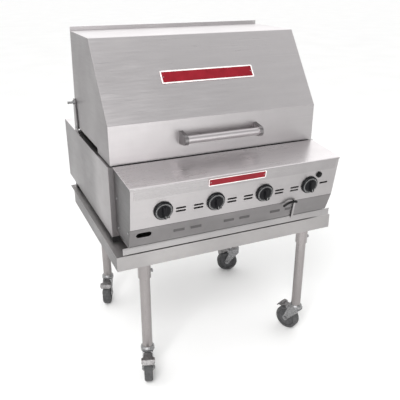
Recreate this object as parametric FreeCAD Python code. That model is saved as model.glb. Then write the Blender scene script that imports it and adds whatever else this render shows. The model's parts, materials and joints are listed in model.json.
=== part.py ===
"""Charbroiler grill on a rolling stand, one STEP file for each named piece.

Millimetres. +X is the operator's right, +Y is the back and +Z is up.
While the pieces are made, Y is counted from the stand's front face and Z from the floor.
At the end everything moves so that the origin is on the floor, in the middle of the footprint.
"""
import FreeCAD, Part
import math
import os

Vector = FreeCAD.Vector
X_AXIS = Vector(1, 0, 0)
Y_AXIS = Vector(0, 1, 0)
Z_AXIS = Vector(0, 0, 1)

# Driving sizes
WIDTH = 940.0                 # stand, left to right
STAND_TOP = 580.0             # height of the shelf that the grill stands on
SHEET = 1.5                   # thickness of the stainless sheet
BEND = 3.0                    # inside radius of a bend in the sheet

# Stand
HALF = WIDTH / 2
APRON_DEPTH = 718.0           # front apron to rear apron
SHELF_DEPTH = 796.0           # the shelf runs on behind the rear apron
APRON_HEIGHT = 58.0
APRON_HEM = 5.0               # flange turned in along each apron's lower edge
LEG_X = 358.0
LEG_FRONT_Y = 33.0
LEG_REAR_Y = 642.0
LEG_RADIUS = 20.65            # 1-5/8 inch tube
LEG_WALL = 1.6
SOCKET_RADIUS = 25.0
SOCKET_DROP = 122.0           # socket's lower end below the shelf
SOCKET_FLANGE = 43.0          # half-width of the socket's flange plate
FLANGE_PLATE = 3.0

# Casters
WHEEL_RADIUS = 54.0
WHEEL_WIDTH = 34.0
HUB_RADIUS = 19.0
TRAIL = 38.0                  # axle behind the swivel axis
AXLE_RADIUS = 5.0
FORK_GAP = 18.2               # wheel's middle plane to the inside of a fork plate
FORK_PLATE = 3.0
CROWN_BOTTOM = 120.0
CROWN_TOP = 134.0
CROWN_RADIUS = 28.0
KINGPIN_RADIUS = 8.0
LEG_BOTTOM = 140.0
PLUG_LENGTH = 45.0            # caster plug inside the leg
RACEWAY_RADII = (27.0, 22.0)  # fixed raceway plate, lower and upper
KINGPIN_HEAD = 11.0
RUNNING_GAP = 0.06            # radial clearance of a pin that turns in a hole
TURN_GAP = 0.5                # clearance between faces that turn past each other
PEDAL_PIVOT = (30.0, CROWN_BOTTOM - 4.0)   # along the trail, and above the floor
PEDAL_REACH = 88.0
PEDAL_CREST = 74.0            # where the blade turns down
PEDAL_PIN = 3.0
PEDAL_NECK = 15.0             # half-width between the fork plates
PEDAL_BLADE = 27.0            # half-width of the foot blade
CASTERS = {                   # leg position, and the way that the caster trails in degrees from +X
    "front_left": (-LEG_X, LEG_FRONT_Y, 252.0),
    "front_right": (LEG_X, LEG_FRONT_Y, 115.0),
    "rear_left": (-LEG_X, LEG_REAR_Y, 246.0),
    "rear_right": (LEG_X, LEG_REAR_Y, 160.0),
}

# Firebox
BODY_HALF = 448.0
BODY_FRONT = 133.0
BODY_REAR = 908.0
FIREBOX_REAR = 690.0
FOOT_HEIGHT = 20.0
FOOT_SIDE = 33.0
BODY_BOTTOM = STAND_TOP + FOOT_HEIGHT
BODY_TOP = STAND_TOP + 300.0
FRONT_FLANGE = 27.0

# Control box: points are (Y, Z)
BOX_HALF = 428.0
LEDGE_REAR = (121.0, STAND_TOP + 304.0)
PANEL_TOP = (-73.5, STAND_TOP + 286.0)
PANEL_BOTTOM = (-47.0, STAND_TOP + 122.0)
LOWER_END = (-17.0, STAND_TOP + 43.0)
LEDGE_REAR_HALF = 433.0
LEDGE_FRONT_HALF = 430.0
LEDGE_FLANGE = 47.0
LEDGE_FLANGE_HALF = 415.0
PANEL_LEAN = math.degrees(math.atan2(PANEL_BOTTOM[0] - PANEL_TOP[0], PANEL_TOP[1] - PANEL_BOTTOM[1]))
PANEL_LENGTH = math.hypot(PANEL_BOTTOM[0] - PANEL_TOP[0], PANEL_TOP[1] - PANEL_BOTTOM[1])
LOWER_LEAN = math.degrees(math.atan2(PANEL_BOTTOM[0] - LOWER_END[0], PANEL_BOTTOM[1] - LOWER_END[1]))
LOWER_LENGTH = math.hypot(PANEL_BOTTOM[0] - LOWER_END[0], PANEL_BOTTOM[1] - LOWER_END[1])
KNOB_PITCH = 205.0
KNOB_X = [KNOB_PITCH * (i - 1.5) for i in range(4)]
KNOB_UP = 62.5                # knob's centre above the panel's lower edge, along the panel
KNOB_RADIUS = 36.0
KNOB_HEIGHT = 25.0
KNOB_GRIP = (50.0, 14.0)      # length and width of the bar grip
KNOB_GRIP_TALL = 16.0
KNOB_GRIP_TURN = 98.0         # grip's direction at rest, from the panel's right-hand direction
KNOB_POINTER_TURN = -58.0
STEM_RADIUS = 4.0
IGNITER_X = 345.0
IGNITER_UP = 102.0
VENT_OFFSET = 68.0            # vent slots beside each knob
VENT_SIZE = (39.0, 7.4)
VENT_ROWS = (-1.0, -14.0)
LOUVRE_SIZE = (41.0, 5.0)
LOUVRE_OFFSET = 34.0          # louvres each side of the middle between two knobs
PORT_X = -375.0
PORT_UP = 0.62                # share of the lower panel's height
PORT_SIZE = (58.0, 24.0)
STEM_HOLE = 7.0
IGNITER_HOLE = 11.0

# Gas train
MANIFOLD = (16.0, STAND_TOP + 202.0)
MANIFOLD_RADIUS = 12.0
BURNER_Z = STAND_TOP + 168.0
BURNER_RADIUS = 19.0
BURNER_FRONT = 24.0
BURNER_REAR = 660.0
INLET_RADIUS = 10.65          # half-inch pipe
INLET_LENGTH = 18.0
GRATE_TOP = BODY_TOP - 2.0

# Drip drawer
TRAY_HALF = 420.0
TRAY_REAR = 660.0
TRAY_BOTTOM = STAND_TOP + 24.0
TRAY_TOP = STAND_TOP + 40.0
STRIP_HALF = 450.0
STRIP_Y = -14.0
STRIP_BOTTOM = STAND_TOP + 13.0
STRIP_TOP = STAND_TOP + 41.0
POST_X = 248.0                # upper end of the post of the drawer's pull
POST_TOP = 90.0               # up the lower panel
POST_WIDTH = 8.0
POST_FACES = (4.0, 7.0)       # rear and front of the post in front of the lower panel
POST_LEAN = 13.0              # lower end of the post further right
PULL_RADIUS = 50.0            # curve of the grip
PULL_SHIFT = 14.0             # grip's middle left of the post
PULL_THICKNESS = 4.6          # radius of the grip's round section
PULL_SPAN = (135.0, 105.0, 68.0)   # angles of the grip's left end, middle and right end

# Hood: outline points are (Y, Z)
HOOD_HALF = 438.0
HOOD_FOOT = (133.0, STAND_TOP + 304.0)
HOOD_BROW = (133.0, STAND_TOP + 451.5)
HOOD_CREST = (336.0, STAND_TOP + 732.5)
HOOD_TOP_REAR = (646.0, STAND_TOP + 732.5)
HOOD_HEEL = (689.0, STAND_TOP + 304.0)
HOOD_LIP = 15.0
NOTCH = (310.0, 660.0, 20.0)  # vent notch in each side: front, rear, height
HINGE = (662.0, STAND_TOP + 432.0)
HINGE_RADIUS = 5.0
HINGE_END = 473.0
BRACKET_INNER = 441.0
BRACKET_PLATE = 4.0
BRACKET_TOP = HINGE[1] + 16.0
STOP_TOP = STAND_TOP + 424.0  # rail that the open hood lies on
STOP_REAR = 752.0
STOP_ANGLE = 24.0             # leg of the rail's angle section
STOP_HALF = 400.0
STOP_FOOT = 30.0              # width of each support under the rail
HANDLE_HALF = 166.0           # outer faces of the handle's end brackets
HANDLE_END = 15.0             # thickness of an end bracket
HANDLE_NOSE = 20.0            # rounded front of an end bracket
HANDLE_ROOT = 26.0            # half-height of an end bracket at the hood
HANDLE_RADIUS = 15.0
HANDLE_STANDOFF = 41.0
HANDLE_Z = STAND_TOP + 381.0

# Name plates, left blank
HOOD_BADGE = (394.0, 53.0)
HOOD_BADGE_UP = 171.0         # up the hood's slope
PANEL_BADGE = (236.0, 30.0)
PANEL_BADGE_X = -21.0
PANEL_BADGE_DROP = 20.0       # below the control panel's upper edge


# Building blocks
def block(x0, x1, y0, y1, z0, z1):
    return Part.makeBox(x1 - x0, y1 - y0, z1 - z0, Vector(x0, y0, z0))


def rod(radius, start, end):
    start = Vector(*start)
    along = Vector(*end) - start
    return Part.makeCylinder(radius, along.Length, start, along)


def pipe(radius, wall, start, end):
    return rod(radius, start, end).cut(rod(radius - wall, start, end))


def joined(shapes):
    first, rest = shapes[0], shapes[1:]
    if not rest:
        return first
    return first.multiFuse(rest).removeSplitter()


def rounded_wire(points, radii):
    """Closed wire through the points, with an arc of the given radius at each corner."""
    edges = []
    count = len(points)
    starts, ends = [], []
    arcs = []
    for i in range(count):
        here = points[i]
        back = (points[i - 1] - here).normalize()
        ahead = (points[(i + 1) % count] - here).normalize()
        half_angle = back.getAngle(ahead) / 2
        if radii[i] <= 0 or abs(half_angle - math.pi / 2) < 1e-6:
            starts.append(here)
            ends.append(here)
            arcs.append(None)
            continue
        reach = radii[i] / math.tan(half_angle)
        middle = (back + ahead).normalize()
        centre = here + middle * (radii[i] / math.sin(half_angle))
        starts.append(here + back * reach)
        ends.append(here + ahead * reach)
        arcs.append(Part.Arc(starts[i], centre - middle * radii[i], ends[i]))
    for i in range(count):
        if arcs[i]:
            edges.append(arcs[i].toShape())
        edges.append(Part.LineSegment(ends[i], starts[(i + 1) % count]).toShape())
    return Part.Wire(edges)


def side_profile(outline, x0, x1, radii=None):
    """Solid with the (Y, Z) outline, from x0 to x1."""
    points = [Vector(x0, y, z) for y, z in outline]
    wire = rounded_wire(points, radii or [0] * len(points))
    return Part.Face(wire).extrude(Vector(x1 - x0, 0, 0))


def offset_line(points, distance):
    """The open (Y, Z) line moved to its right-hand side, with mitred corners."""
    normals = []
    for (y0, z0), (y1, z1) in zip(points, points[1:]):
        length = math.hypot(y1 - y0, z1 - z0)
        normals.append(((z1 - z0) / length, -(y1 - y0) / length))
    moved = []
    for i, (y, z) in enumerate(points):
        before = normals[max(i - 1, 0)]
        after = normals[min(i, len(normals) - 1)]
        scale = distance / (1 + before[0] * after[0] + before[1] * after[1])
        moved.append((y + (before[0] + after[0]) * scale, z + (before[1] + after[1]) * scale))
    return moved


def bent_sheet(line, half_width, thickness=SHEET, bend=BEND):
    """Sheet bent along the open (Y, Z) line; the line is its left-hand face."""
    inner = offset_line(line, thickness)
    radii = [0]
    for a, b, c in zip(line, line[1:], line[2:]):
        turn = (b[0] - a[0]) * (c[1] - b[1]) - (b[1] - a[1]) * (c[0] - b[0])
        radii.append(bend + thickness if turn < 0 else bend)
    radii.append(0)
    inner_radii = [0 if r == 0 else (bend if r > bend else bend + thickness) for r in radii]
    return side_profile(line + inner[::-1], -half_width, half_width, radii + inner_radii[::-1])


def slot(length, height, depth):
    """Round-ended slot cutter in the XY plane, centred, from -depth to +depth."""
    radius = height / 2
    run = length / 2 - radius
    straight = block(-run, run, -radius, radius, -depth, depth)
    ends = [rod(radius, (x, 0, -depth), (x, 0, depth)) for x in (-run, run)]
    return joined([straight] + ends)


def on_sloped_sheet(shape, x, up, foot, lean):
    """Puts a shape made on the XY plane onto a leaning sheet: +Y runs up it and +Z points outward."""
    turn = FreeCAD.Rotation(X_AXIS, 90 + lean)
    base = Vector(x, foot[0], foot[1]) + turn.multVec(Vector(0, up, 0))
    placed = shape.copy()
    placed.Placement = FreeCAD.Placement(base, turn).multiply(shape.Placement)
    return placed


def on_panel(shape, x, up):
    return on_sloped_sheet(shape, x, up, PANEL_BOTTOM, PANEL_LEAN)


def on_lower_panel(shape, x, up):
    return on_sloped_sheet(shape, x, up, LOWER_END, -LOWER_LEAN)


# Stand
def stand_top():
    return block(-HALF, HALF, 0, SHELF_DEPTH, STAND_TOP - SHEET, STAND_TOP)


def apron_front():
    low = STAND_TOP - APRON_HEIGHT
    face = block(-HALF, HALF, 0, SHEET, low, STAND_TOP - SHEET)
    hem = block(-HALF + SHEET, HALF - SHEET, SHEET, APRON_HEM, low, low + SHEET)
    return joined([face, hem])


def apron_rear():
    low = STAND_TOP - APRON_HEIGHT
    face = block(-HALF, HALF, APRON_DEPTH - SHEET, APRON_DEPTH, low, STAND_TOP - SHEET)
    hem = block(-HALF + SHEET, HALF - SHEET, APRON_DEPTH - APRON_HEM, APRON_DEPTH - SHEET, low, low + SHEET)
    return joined([face, hem])


def apron_sides():
    low = STAND_TOP - APRON_HEIGHT
    faces = []
    for side in (-1, 1):
        outer, inner = side * HALF, side * (HALF - SHEET)
        faces.append(block(min(outer, inner), max(outer, inner), SHEET, APRON_DEPTH - SHEET,
                           low, STAND_TOP - SHEET))
    return Part.makeCompound(faces)


def leg_places():
    return [(x, y) for x, y, _ in CASTERS.values()]


def leg_sockets():
    """Collar with a flange plate under the shelf; a front flange stops at the apron."""
    sockets = []
    flange = SOCKET_FLANGE
    low = STAND_TOP - SOCKET_DROP
    high = STAND_TOP - SHEET
    for x, y in leg_places():
        tube = rod(SOCKET_RADIUS, (x, y, low), (x, y, high))
        front = max(y - flange, SHEET)
        plate = block(x - flange, x + flange, front, y + flange, high - FLANGE_PLATE, high)
        bore = rod(LEG_RADIUS + 0.15, (x, y, low - 1), (x, y, high - FLANGE_PLATE - 1))
        sockets.append(joined([tube, plate]).cut(bore))
    return Part.makeCompound(sockets)


def stand_legs():
    legs = []
    for x, y in leg_places():
        legs.append(pipe(LEG_RADIUS, LEG_WALL, (x, y, LEG_BOTTOM), (x, y, STAND_TOP - 10)))
    return Part.makeCompound(legs)


def caster_stems():
    """Plug in each leg with the fixed raceway plate and the kingpin that the fork turns on."""
    stems = []
    plug_radius = LEG_RADIUS - LEG_WALL - 0.1
    for x, y in leg_places():
        plug = rod(plug_radius, (x, y, LEG_BOTTOM), (x, y, LEG_BOTTOM + PLUG_LENGTH))
        plate = Part.makeCone(*RACEWAY_RADII, LEG_BOTTOM - CROWN_TOP - TURN_GAP,
                              Vector(x, y, CROWN_TOP + TURN_GAP), Z_AXIS)
        pin = rod(KINGPIN_RADIUS, (x, y, CROWN_BOTTOM - TURN_GAP), (x, y, LEG_BOTTOM))
        head = rod(KINGPIN_HEAD, (x, y, CROWN_BOTTOM - 5), (x, y, CROWN_BOTTOM - TURN_GAP))
        stems.append(joined([plug, plate, pin, head]))
    return Part.makeCompound(stems)


# Casters, made with the swivel axis on Z and the trail along +X
def fork_plate(inner, side):
    """One cheek of the fork, from the crown down to the axle, with an ear for the pedal's pin."""
    high, low = CROWN_BOTTOM + FORK_PLATE, CROWN_BOTTOM - 12
    top_half, boss = 24.0, 13.0
    outline = [(-top_half, high), (top_half, high), (TRAIL + boss, WHEEL_RADIUS),
               (TRAIL - boss, WHEEL_RADIUS), (-top_half, low)]
    points = [Vector(u, inner, z) for u, z in outline]
    across = Vector(0, side * FORK_PLATE, 0)
    plate = Part.Face(rounded_wire(points, [0, 0, 0, 0, 8])).extrude(across)
    outer = inner + side * FORK_PLATE
    axle_boss = rod(boss, (TRAIL, inner, WHEEL_RADIUS), (TRAIL, outer, WHEEL_RADIUS))
    u, z = PEDAL_PIVOT
    ear = rod(8, (u, inner, z), (u, outer, z))
    return joined([plate, axle_boss, ear])


def caster_fork():
    outer = FORK_GAP + FORK_PLATE
    crown = rod(CROWN_RADIUS, (0, 0, CROWN_BOTTOM), (0, 0, CROWN_TOP))
    crown = crown.makeFillet(3.0, [e for e in crown.Edges if e.BoundBox.ZMin > CROWN_TOP - 0.01])
    bridge = block(-24, 24, -outer, outer, CROWN_BOTTOM, CROWN_BOTTOM + FORK_PLATE)
    fork = joined([crown, bridge, fork_plate(FORK_GAP, 1), fork_plate(-FORK_GAP, -1)])
    fork = fork.cut(rod(KINGPIN_RADIUS + RUNNING_GAP, (0, 0, CROWN_BOTTOM - 9), (0, 0, CROWN_TOP + 9)))
    u, z = PEDAL_PIVOT
    for radius, at in ((AXLE_RADIUS + 0.1, (TRAIL, WHEEL_RADIUS)), (PEDAL_PIN + RUNNING_GAP, (u, z))):
        fork = fork.cut(rod(radius, (at[0], -outer - 1, at[1]), (at[0], outer + 1, at[1])))
    return Part.makeCompound([fork, axle_bolt(outer)])


def axle_bolt(outer):
    across_corners, nut_height = 8.5, 5.0
    shaft = rod(AXLE_RADIUS, (TRAIL, -outer - 1, WHEEL_RADIUS), (TRAIL, outer + 6, WHEEL_RADIUS))
    head = hexagon(across_corners, nut_height).translated(Vector(TRAIL, -outer - nut_height, WHEEL_RADIUS))
    nut = hexagon(across_corners, nut_height).translated(Vector(TRAIL, outer, WHEEL_RADIUS))
    return joined([shaft, head, nut])


def hexagon(radius, height):
    """Hexagonal prism along +Y from the origin."""
    angles = [math.radians(60 * i) for i in range(6)]
    points = [Vector(radius * math.cos(a), 0, radius * math.sin(a)) for a in angles]
    return Part.Face(Part.makePolygon(points + points[:1])).extrude(Vector(0, height, 0))


def turned(profile):
    """Solid of revolution about the axle; profile is (radius, Y)."""
    points = [Vector(r, y, 0) for r, y in profile]
    face = Part.Face(Part.makePolygon(points + points[:1]))
    return face.revolve(Vector(0, 0, 0), Y_AXIS, 360).translated(Vector(TRAIL, 0, WHEEL_RADIUS))


def caster_tyre():
    half, web, corner = WHEEL_WIDTH / 2, 12.0, 5.0
    dish, wall, shoulder = 38.0, 41.0, WHEEL_RADIUS - corner
    profile = [(HUB_RADIUS, -web), (dish, -web), (wall, -half), (shoulder, -half),
               (WHEEL_RADIUS, corner - half), (WHEEL_RADIUS, half - corner), (shoulder, half),
               (wall, half), (dish, web), (HUB_RADIUS, web)]
    return turned(profile)


def caster_hub():
    bore, boss, web = AXLE_RADIUS + RUNNING_GAP, 11.0, 12.0
    face = FORK_GAP - 0.6
    profile = [(bore, -face), (boss, -face), (boss, -web - 2), (HUB_RADIUS, -web), (HUB_RADIUS, web),
               (boss, web + 2), (boss, face), (bore, face)]
    return turned(profile)


def brake_pedal():
    """Foot lever with a turned-down blade and a tread pad, on its own pin between the fork plates."""
    u, z = PEDAL_PIVOT
    heel, tip, crest = u - 6, PEDAL_REACH, PEDAL_CREST
    outline = [(heel, z - 1.5), (crest - 1, z - 0.5), (tip - 2, z - 12), (tip, z - 10), (crest, z + 3),
               (heel, z + 2.5)]
    points = [Vector(along, -PEDAL_BLADE, up) for along, up in outline]
    blade = Part.Face(Part.makePolygon(points + points[:1])).extrude(Vector(0, 2 * PEDAL_BLADE, 0))
    half_plan = [(heel, PEDAL_NECK), (50, PEDAL_NECK), (60, PEDAL_BLADE), (tip - 8, PEDAL_BLADE),
                 (tip, PEDAL_BLADE - 8)]
    plan = half_plan + [(along, -across) for along, across in half_plan[::-1]]
    points = [Vector(along, across, z - 30) for along, across in plan]
    blade = blade.common(Part.Face(Part.makePolygon(points + points[:1])).extrude(Vector(0, 0, 60)))
    pad = block(crest - 16, crest - 2, -14, 14, z + 1, z + 6)
    outer = FORK_GAP + FORK_PLATE
    pin = rod(PEDAL_PIN, (u, -outer, z), (u, outer, z))
    return joined([blade, pad, pin])


def placed_caster(shape, name):
    x, y, heading = CASTERS[name]
    placed = shape.copy()
    placed.rotate(Vector(0, 0, 0), Z_AXIS, heading)
    placed.translate(Vector(x, y, 0))
    return placed


# Firebox and rear compartment
def side_panel(side):
    wall = block(BODY_HALF - SHEET, BODY_HALF, BODY_FRONT, BODY_REAR, BODY_BOTTOM, BODY_TOP)
    front = block(BODY_HALF - FRONT_FLANGE, BODY_HALF, BODY_FRONT, BODY_FRONT + SHEET, BODY_BOTTOM, BODY_TOP)
    top = block(BODY_HALF - 22, BODY_HALF, BODY_FRONT, FIREBOX_REAR, BODY_TOP - SHEET, BODY_TOP)
    panel = joined([wall, front, top])
    outer = [e for e in panel.Edges if e.Length > 200 and abs(e.BoundBox.XMin - BODY_HALF) < 0.01
             and e.BoundBox.XLength < 0.01
             and (abs(e.BoundBox.YMax - BODY_FRONT) < 0.01 or abs(e.BoundBox.ZMin - BODY_TOP) < 0.01)]
    panel = panel.makeFillet(1.5, outer)
    return panel if side > 0 else panel.mirror(Vector(0, 0, 0), X_AXIS)


def rear_panel():
    inside = BODY_HALF - SHEET
    return block(-inside, inside, BODY_REAR - SHEET, BODY_REAR, BODY_BOTTOM, BODY_TOP)


def front_bulkhead():
    """Front wall of the firebox, open below for the drip drawer, with a hole for each burner."""
    inside = BODY_HALF - FRONT_FLANGE
    wall = block(-inside, inside, BODY_FRONT, BODY_FRONT + SHEET, STAND_TOP + 44, BODY_TOP)
    for x in KNOB_X:
        hole = rod(BURNER_RADIUS + 0.5, (x, BODY_FRONT - 5, BURNER_Z), (x, BODY_FRONT + 9, BURNER_Z))
        wall = wall.cut(hole)
    return wall


def firebox_rear_wall():
    inside = BODY_HALF - SHEET
    return block(-inside, inside, FIREBOX_REAR, FIREBOX_REAR + SHEET, BODY_BOTTOM + SHEET, BODY_TOP - SHEET)


def floor_pan():
    inside = BODY_HALF - SHEET
    pan = block(-inside, inside, BODY_FRONT + SHEET, BODY_REAR - SHEET, BODY_BOTTOM, BODY_BOTTOM + SHEET)
    toe = block(-BOX_HALF + 8, BOX_HALF - 8, 2, BODY_FRONT + SHEET, BODY_BOTTOM, BODY_BOTTOM + SHEET)
    return joined([pan, toe])


def rear_deck():
    inside = BODY_HALF - SHEET
    return block(-inside, inside, FIREBOX_REAR, BODY_REAR - SHEET, BODY_TOP - SHEET, BODY_TOP)


def body_feet():
    feet = []
    for side in (-1, 1):
        for y in (BODY_FRONT, SHELF_DEPTH - 20 - FOOT_SIDE):
            x0 = BODY_HALF - FOOT_SIDE if side > 0 else -BODY_HALF
            feet.append(block(x0, x0 + FOOT_SIDE, y, y + FOOT_SIDE, STAND_TOP, BODY_BOTTOM))
    return Part.makeCompound(feet)


def grate_rails():
    """Front and rear angles that carry the cooking grates."""
    inside = BODY_HALF - SHEET - 0.5
    shelf_z = GRATE_TOP - 18.0
    rails = []
    for wall, reach in ((BODY_FRONT + SHEET, 1), (FIREBOX_REAR, -1)):
        upright = block(-inside, inside, min(wall, wall + reach * SHEET), max(wall, wall + reach * SHEET),
                        shelf_z - 22, shelf_z)
        seat = block(-inside, inside, min(wall, wall + reach * 22), max(wall, wall + reach * 22),
                     shelf_z - SHEET, shelf_z)
        rails.append(joined([upright, seat]))
    return Part.makeCompound(rails)


def cooking_grates():
    """Four cast grates side by side, with bars that run front to back."""
    grates = []
    low, high = GRATE_TOP - 18.0, GRATE_TOP - 2.0
    front, rear = BODY_FRONT + SHEET + 3, FIREBOX_REAR - 3
    bar_count, bar_pitch = 12, 17.5
    for x in KNOB_X:
        half = bar_pitch * (bar_count - 1) / 2
        bars = []
        for i in range(bar_count):
            centre = x - half + i * bar_pitch
            outline = [(centre - 2.0, low), (centre + 2.0, low), (centre + 4.0, high), (centre - 4.0, high)]
            points = [Vector(px, front, pz) for px, pz in outline]
            face = Part.Face(Part.makePolygon(points + points[:1]))
            bars.append(face.extrude(Vector(0, rear - front, 0)))
        for y in (front, (front + rear) / 2 - 5, rear - 10):
            bars.append(block(x - half - 4, x + half + 4, y, y + 10, low, high - 4))
        grates.append(joined(bars))
    return Part.makeCompound(grates)


def radiants():
    """Steel roof over each burner that spreads the flame's heat."""
    roofs = []
    ridge, eaves, spread, drop = STAND_TOP + 235, STAND_TOP + 200, 62.0, SHEET * 1.2
    for x in KNOB_X:
        upper = [(x - spread, eaves), (x, ridge), (x + spread, eaves)]
        lower = [(x + spread, eaves - drop), (x, ridge - drop), (x - spread, eaves - drop)]
        points = [Vector(px, BODY_FRONT + 12, pz) for px, pz in upper + lower]
        face = Part.Face(Part.makePolygon(points + points[:1]))
        roofs.append(face.extrude(Vector(0, FIREBOX_REAR - BODY_FRONT - 24, 0)))
    return Part.makeCompound(roofs)


# Gas train
def burners():
    tubes = []
    for x in KNOB_X:
        outside = rod(BURNER_RADIUS, (x, BURNER_FRONT, BURNER_Z), (x, BURNER_REAR, BURNER_Z))
        inside = rod(BURNER_RADIUS - 1.5, (x, BURNER_FRONT - 1, BURNER_Z), (x, BURNER_REAR - 3, BURNER_Z))
        tubes.append(outside.cut(inside))
    return Part.makeCompound(tubes)


def gas_manifold():
    """Manifold pipe, closed at the left, with the threaded gas inlet through the right end cap."""
    y, z = MANIFOLD
    shoulder = BOX_HALF + 12
    pipe_end = -BOX_HALF + 22
    main = rod(MANIFOLD_RADIUS, (pipe_end, y, z), (BOX_HALF - SHEET - 1, y, z))
    neck = rod(9, (BOX_HALF - SHEET - 1, y, z), (BOX_HALF + 1, y, z))
    nut = hexagon(15.5, 11)
    nut.rotate(Vector(0, 0, 0), Z_AXIS, -90)
    nut.translate(Vector(BOX_HALF + 1, y, z))
    inlet = rod(INLET_RADIUS, (shoulder, y, z), (shoulder + INLET_LENGTH, y, z))
    bore = rod(6.5, (pipe_end + 6, y, z), (shoulder + INLET_LENGTH, y, z))
    return joined([main, neck, nut, inlet]).cut(bore)


def gas_valves():
    """One valve behind each knob: body, stem, nipple into the manifold and jet into the burner."""
    valves = []
    y, z = MANIFOLD
    pipe_volume = rod(MANIFOLD_RADIUS, (-BOX_HALF, y, z), (BOX_HALF, y, z))
    for x in KNOB_X:
        stem = on_panel(rod(STEM_RADIUS, (0, 0, -30), (0, 0, 18)), x, KNOB_UP)
        collar = on_panel(rod(12, (0, 0, -18), (0, 0, -SHEET - 1)), x, KNOB_UP)
        body = block(x - 15, x + 15, -38, -2, BURNER_Z - 8, z + 8)
        nipple = rod(7, (x, -3, z), (x, y, z))
        jet = rod(6, (x, -3, BURNER_Z), (x, BURNER_FRONT + 6, BURNER_Z))
        valves.append(joined([stem, collar, body, nipple, jet]).cut(pipe_volume))
    return Part.makeCompound(valves)


# Control box
def control_ledge():
    """Sloping top cover with a front flange that laps over the control panel."""
    along = ((PANEL_TOP[0] - PANEL_BOTTOM[0]) / PANEL_LENGTH, (PANEL_TOP[1] - PANEL_BOTTOM[1]) / PANEL_LENGTH)
    outward = (-along[1] * (SHEET + 0.2), along[0] * (SHEET + 0.2))
    corner = (PANEL_TOP[0] + outward[0] + along[0] * 1.5, PANEL_TOP[1] + outward[1] + along[1] * 1.5)
    flange_end = (corner[0] - along[0] * LEDGE_FLANGE, corner[1] - along[1] * LEDGE_FLANGE)
    sheet = bent_sheet([flange_end, corner, LEDGE_REAR], LEDGE_REAR_HALF)
    front = corner[0] - 2
    plan = [(-LEDGE_FRONT_HALF, front), (LEDGE_FRONT_HALF, front), (LEDGE_REAR_HALF, LEDGE_REAR[0] + 1),
            (-LEDGE_REAR_HALF, LEDGE_REAR[0] + 1)]
    points = [Vector(px, py, STAND_TOP) for px, py in plan]
    ledge = sheet.common(Part.Face(Part.makePolygon(points + points[:1])).extrude(Vector(0, 0, 400)))
    for x0, x1 in ((-LEDGE_REAR_HALF, -LEDGE_FLANGE_HALF), (LEDGE_FLANGE_HALF, LEDGE_REAR_HALF)):
        ledge = ledge.cut(block(x0, x1, front - 10, front + 20, STAND_TOP, corner[1] - 2 * BEND))
    return ledge


def control_panel():
    """Leaning sheet with a stem hole for each knob, vent slots beside the knobs and the igniter's hole."""
    short = (PANEL_LENGTH - 6) / PANEL_LENGTH
    top = (PANEL_BOTTOM[0] + (PANEL_TOP[0] - PANEL_BOTTOM[0]) * short,
           PANEL_BOTTOM[1] + (PANEL_TOP[1] - PANEL_BOTTOM[1]) * short)
    sheet = bent_sheet([PANEL_BOTTOM, top], BOX_HALF)
    vent = slot(*VENT_SIZE, 4)
    for i, x in enumerate(KNOB_X):
        sheet = sheet.cut(on_panel(rod(STEM_HOLE, (0, 0, -5), (0, 0, 5)), x, KNOB_UP))
        for side in (-1, 1):
            if i == 0 and side < 0:
                continue
            rows = VENT_ROWS[:1] if i == 3 and side > 0 else VENT_ROWS
            for row in rows:
                sheet = sheet.cut(on_panel(vent, x + side * VENT_OFFSET, KNOB_UP + row))
    return sheet.cut(on_panel(rod(IGNITER_HOLE, (0, 0, -5), (0, 0, 5)), IGNITER_X, IGNITER_UP))


def louvre_lip():
    """Pressed lip that hoods a louvre slot, on the XY plane with the slot through the origin."""
    half = LOUVRE_SIZE[0] / 2 + 1
    outline = [(8, -0.75), (8, 0.2), (-2, 3.4), (-2.6, 2.2), (3.5, -0.75)]
    points = [Vector(-half, up, out) for up, out in outline]
    return Part.Face(Part.makePolygon(points + points[:1])).extrude(Vector(2 * half, 0, 0))


def lower_panel():
    """Sheet under the control panel, with hooded louvre slots and the lighting port."""
    line = [LOWER_END, (PANEL_BOTTOM[0] + 0.5, PANEL_BOTTOM[1] - 1.3)]
    sheet = bent_sheet(line, BOX_HALF)
    for middle in (-KNOB_PITCH, 0, KNOB_PITCH):
        for offset in (-LOUVRE_OFFSET, LOUVRE_OFFSET):
            x, up = middle + offset, LOWER_LENGTH / 2
            sheet = sheet.cut(on_lower_panel(slot(*LOUVRE_SIZE, 4), x, up))
            sheet = joined([sheet, on_lower_panel(louvre_lip(), x, up)])
    return sheet.cut(on_lower_panel(slot(*PORT_SIZE, 6), PORT_X, LOWER_LENGTH * PORT_UP))


def control_end_caps():
    """Side plates of the control box; the right one lets the gas inlet through."""
    caps = []
    gap = SHEET + 0.2
    inner_panel = offset_line([LOWER_END, PANEL_BOTTOM, PANEL_TOP], gap)
    outline = inner_panel + [(LEDGE_REAR[0] - 3, LEDGE_REAR[1] - 4), (BODY_FRONT, BODY_TOP),
                             (BODY_FRONT, LOWER_END[1])]
    outline[2] = (outline[2][0] + 2, outline[2][1] - 3.5)
    for x0 in (-BOX_HALF, BOX_HALF - SHEET):
        caps.append(side_profile(outline, x0, x0 + SHEET))
    y, z = MANIFOLD
    caps[1] = caps[1].cut(rod(9.5, (BOX_HALF - 9, y, z), (BOX_HALF + 9, y, z)))
    return Part.makeCompound(caps)


def igniter_body():
    """Black bezel and barrel of the push igniter."""
    bezel = rod(12.5, (0, 0, 0.1), (0, 0, 4))
    barrel = rod(10.5, (0, 0, -34), (0, 0, 0.1))
    bore = rod(8, (0, 0, -12), (0, 0, 5))
    plunger_bore = rod(3 + RUNNING_GAP, (0, 0, -30), (0, 0, -10))
    return on_panel(joined([bezel, barrel]).cut(bore).cut(plunger_bore), IGNITER_X, IGNITER_UP)


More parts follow.
